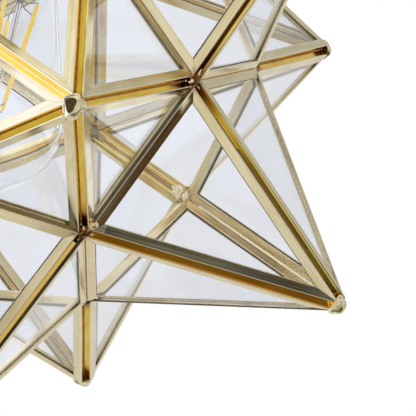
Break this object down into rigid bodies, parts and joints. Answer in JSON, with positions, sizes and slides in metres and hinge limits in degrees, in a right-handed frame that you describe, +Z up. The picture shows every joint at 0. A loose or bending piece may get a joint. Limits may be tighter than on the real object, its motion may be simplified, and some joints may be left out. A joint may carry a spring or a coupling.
{
  "type": "star semi-flush ceiling light",
  "caption": "Semi-flush ceiling light: a star of hollow glass points in brass channel round one screw-in bulb, hung by a short stem from a round canopy.",
  "frame": {"origin": "on the ceiling plane, midway between the crossbar's two ceiling screw holes", "axes": "+Z up out of the ceiling mount, along the stem and the star's upright axis; +X along the crossbar; one lower point of the star faces -Y"},
  "size_m": [0.3279, 0.3444, 0.4546],
  "materials": {
    "came_brass": "folded brass channel, pale champagne lips and deeper gold webs, fine drawn grain",
    "clear_glass": "clear float glass with a faint cool grey tint",
    "solder": "bright brazed beads with burnt brown edges",
    "turned_brass": "spun and turned brass, satin",
    "plain_brass": "plain machined brass",
    "zinc_steel": "zinc plated steel strip",
    "nickel": "nickel plate",
    "green_screw": "green dyed screw",
    "green_wire": "green insulated wire",
    "black_wire": "black insulated wire",
    "white_wire": "white insulated wire",
    "connector_plastic": "moulded twist-on connector",
    "ceramic": "white lampholder ceramic",
    "bulb_glass": "thin clear blown glass",
    "black_glass": "black insulating bead",
    "filament": "yellow phosphor coat on the filament strips",
    "lead_wire": "thin nickel lead wires"
  },
  "bodies": {
    "fixture": {"canopy": "turned_brass", "crossbar": "zinc_steel", "canopy_studs": "plain_brass", "canopy_nuts": "turned_brass", "ground_screw": "green_screw", "ground_wire": "green_wire", "wire_connectors": "connector_plastic", "live_wire": "black_wire", "neutral_wire": "white_wire", "threaded_tube": "plain_brass", "lock_nuts": "plain_brass", "stem_collar": "turned_brass", "stem_sleeve": "turned_brass", "top_cap": "turned_brass", "frame_top": "came_brass", "frame_upper_1": "came_brass", "frame_upper_2": "came_brass", "frame_upper_3": "came_brass", "frame_upper_4": "came_brass", "frame_upper_5": "came_brass", "frame_lower_1": "came_brass", "frame_lower_2": "came_brass", "frame_lower_3": "came_brass", "frame_lower_4": "came_brass", "frame_bottom": "came_brass", "glass_top": "clear_glass", "glass_upper_1": "clear_glass", "glass_upper_2": "clear_glass", "glass_upper_3": "clear_glass", "glass_upper_4": "clear_glass", "glass_upper_5": "clear_glass", "glass_lower_1": "clear_glass", "glass_lower_2": "clear_glass", "glass_lower_3": "clear_glass", "glass_lower_4": "clear_glass", "glass_bottom": "clear_glass", "tip_solder": "solder", "valley_solder": "solder", "hinge_fixed_leaf": "plain_brass", "hinge_pin": "plain_brass", "catch_holder": "plain_brass", "catch_magnet": "nickel", "socket_cup": "turned_brass", "socket_ceramic": "ceramic", "socket_shell": "plain_brass", "socket_contact": "plain_brass", "socket_screws": "plain_brass"},
    "bulb": {"bulb_glass": "bulb_glass", "bulb_screw": "nickel", "bulb_insulator": "black_glass", "bulb_contact": "nickel", "bulb_mount": "bulb_glass", "bulb_filaments": "filament", "bulb_wires": "lead_wire"},
    "door": {"door_frame": "came_brass", "door_glass": "clear_glass", "door_tip_solder": "solder", "hinge_door_leaf": "plain_brass", "catch_plate": "zinc_steel"}
  },
  "joints": [
    {"name": "door_hinge", "type": "hinge", "parent": "fixture", "child": "door", "pos_m": [-0.05479, -0.0178, -0.35581], "axis": [0.309, -0.9511, 0], "range_deg": [0, 100]},
    {"name": "bulb_draw", "type": "slide", "parent": "fixture", "child": "bulb", "axis": [0, 0, -1], "range_m": [0, 0.028]}
  ]
}
